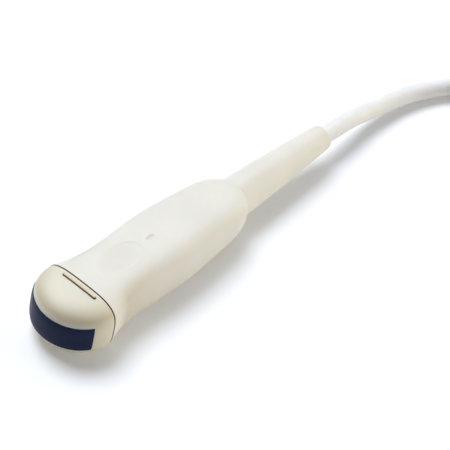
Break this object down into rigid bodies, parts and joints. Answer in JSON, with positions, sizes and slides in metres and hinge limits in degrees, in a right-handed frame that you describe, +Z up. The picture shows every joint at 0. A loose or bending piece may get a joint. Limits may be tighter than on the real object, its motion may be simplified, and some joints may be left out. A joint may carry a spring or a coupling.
{
  "type": "ultrasound transducer probe",
  "caption": "Micro-convex ultrasound probe: curved lens in a rounded nose, waisted hand grip, tapered cable boot, and a cable folded in a hank that ends in a locking plug.",
  "frame": {"origin": "centre of the probe's own box, from lens to boot tip, on the surface it lies on; the cable, its hank and its plug are not counted", "axes": "+X from the lens along the handle to the cable, +Y across the broad face, +Z up from the surface, with the orientation rib on top"},
  "size_m": [0.4296, 0.0758, 0.0465],
  "materials": {
    "cream_shell": "fine matte moulded ivory",
    "navy_lens": "satin silicone",
    "tan_rib": "matte",
    "brown_bead": "satin sealant",
    "ivory_boot": "satin elastomer",
    "white_jacket": "satin cable jacket",
    "grey_strap": "woven hook-and-loop strap",
    "matching_resin": "ground filled resin",
    "ceramic": "electroded ceramic",
    "absorber": "cast filled resin",
    "machined_aluminium": "machined",
    "amber_film": "smooth film",
    "green_board": "solder mask",
    "black_moulding": "matte moulded",
    "spacer_brass": "turned",
    "steel": "bright steel",
    "shield_metal": "rolled sheet",
    "white_moulding": "matte moulded",
    "braid": "woven tinned wire",
    "wire_bundle": "fine insulated wires",
    "plug_shell": "fine matte moulded",
    "gold_contact": "plated",
    "knob_grey": "matte moulded"
  },
  "bodies": {
    "root": {"nose_cap": "cream_shell", "handle_shell": "cream_shell", "acoustic_lens": "navy_lens", "orientation_rib": "tan_rib", "seam_seal": "brown_bead", "strain_relief": "ivory_boot", "plug_boot": "ivory_boot", "cable_lead": "white_jacket", "cable_hank": "white_jacket", "cable_tail": "white_jacket", "hank_ties": "grey_strap", "matching_layer": "matching_resin", "element_array": "ceramic", "backing_block": "absorber", "array_carrier": "machined_aluminium", "clamp_base": "machined_aluminium", "clamp_cap": "machined_aluminium", "clamp_strap": "machined_aluminium", "upper_flex_circuit": "amber_film", "lower_flex_circuit": "amber_film", "upper_board": "green_board", "lower_board": "green_board", "plug_board": "green_board", "flex_sockets": "black_moulding", "contact_block": "black_moulding", "board_spacers": "spacer_brass", "core_ferrule": "spacer_brass", "board_screws": "steel", "clamp_screws": "steel", "cover_screws": "steel", "strap_screws": "steel", "guide_pins": "steel", "shield_sleeve": "shield_metal", "rear_bulkhead": "white_moulding", "cable_core": "braid", "plug_core": "braid", "coax_fanout": "wire_bundle", "plug_fanout": "wire_bundle", "plug_base": "plug_shell", "plug_cover": "plug_shell", "contact_pads": "gold_contact"},
    "lock": {"lock_shaft": "steel", "shaft_clip": "steel", "lock_knob": "knob_grey", "knob_screw": "steel"}
  },
  "joints": [
    {"name": "lock_turn", "type": "hinge", "parent": "root", "child": "lock", "pos_m": [0.321, -0.0275, 0.035], "axis": [0, 0, 1], "range_deg": [0, 90]}
  ]
}
